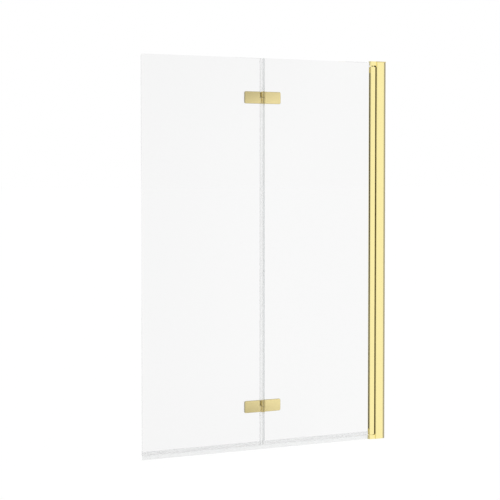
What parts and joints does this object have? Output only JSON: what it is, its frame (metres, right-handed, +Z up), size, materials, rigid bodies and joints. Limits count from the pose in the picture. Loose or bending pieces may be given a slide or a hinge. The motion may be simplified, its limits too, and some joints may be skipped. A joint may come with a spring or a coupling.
{
  "type": "folding bath screen",
  "caption": "Two-pane folding glass bath screen on a turning wall post, with pale gold wall profile, clamp hinges and clear seals.",
  "frame": {"origin": "foot of the wall face: on the wall plane, at the bath rim's height, in the mid-plane of the glass", "axes": "+X into the wall, -X along the rim towards the free edge, -Y to the room, +Y to the bath, +Z up"},
  "size_m": [1, 0.0316, 1.4],
  "materials": {
    "polished_gold": "polished pale gold anodising",
    "satin_gold": "satin pale gold anodising",
    "brushed_gold": "fine brushed pale gold",
    "clear_glass": "clear toughened glass with polished edges",
    "clear_seal": "clear soft plastic",
    "dark_seal": "matt",
    "gasket": "matt, pale grey",
    "nylon": "white nylon",
    "cap_plastic": "gold-coloured plastic",
    "steel": "stainless"
  },
  "bodies": {
    "wall_side": {"bottom_block_screws": "steel", "bottom_pivot_block": "polished_gold", "bottom_pivot_pin": "steel", "jamb_profile": "polished_gold", "jamb_screw_caps": "cap_plastic", "jamb_screws": "steel", "jamb_seal": "dark_seal", "thrust_washer": "brushed_gold", "top_block_screws": "steel", "top_cap": "cap_plastic", "top_pivot_block": "polished_gold", "top_pivot_collar": "polished_gold", "top_pivot_pin": "steel", "wall_channel": "satin_gold"},
    "inner_panel": {"bottom_post_bush": "nylon", "inner_bottom_seal": "clear_seal", "inner_glass": "clear_glass", "lower_hinge_pin": "steel", "lower_hinge_washer": "brushed_gold", "lower_inner_back_plate": "brushed_gold", "lower_inner_gaskets": "gasket", "lower_inner_leaf": "brushed_gold", "lower_inner_screws": "steel", "lower_inner_sleeves": "nylon", "middle_seal": "clear_seal", "pivot_post": "polished_gold", "post_gasket": "dark_seal", "top_post_bush": "nylon", "upper_hinge_pin": "steel", "upper_hinge_washer": "brushed_gold", "upper_inner_back_plate": "brushed_gold", "upper_inner_gaskets": "gasket", "upper_inner_leaf": "brushed_gold", "upper_inner_screws": "steel", "upper_inner_sleeves": "nylon"},
    "outer_panel": {"lower_outer_back_plate": "brushed_gold", "lower_outer_gaskets": "gasket", "lower_outer_leaf": "brushed_gold", "lower_outer_screws": "steel", "lower_outer_sleeves": "nylon", "outer_bottom_seal": "clear_seal", "outer_glass": "clear_glass", "upper_outer_back_plate": "brushed_gold", "upper_outer_gaskets": "gasket", "upper_outer_leaf": "brushed_gold", "upper_outer_screws": "steel", "upper_outer_sleeves": "nylon"}
  },
  "joints": [
    {"name": "post_pivot", "type": "hinge", "parent": "wall_side", "child": "inner_panel", "pos_m": [-0.05463, 0, 0.7], "axis": [0, 0, -1], "range_deg": [0, 90]},
    {"name": "leaf_fold", "type": "hinge", "parent": "inner_panel", "child": "outer_panel", "pos_m": [-0.5245, -0.01, 0.7], "axis": [0, 0, 1], "range_deg": [0, 180]}
  ]
}
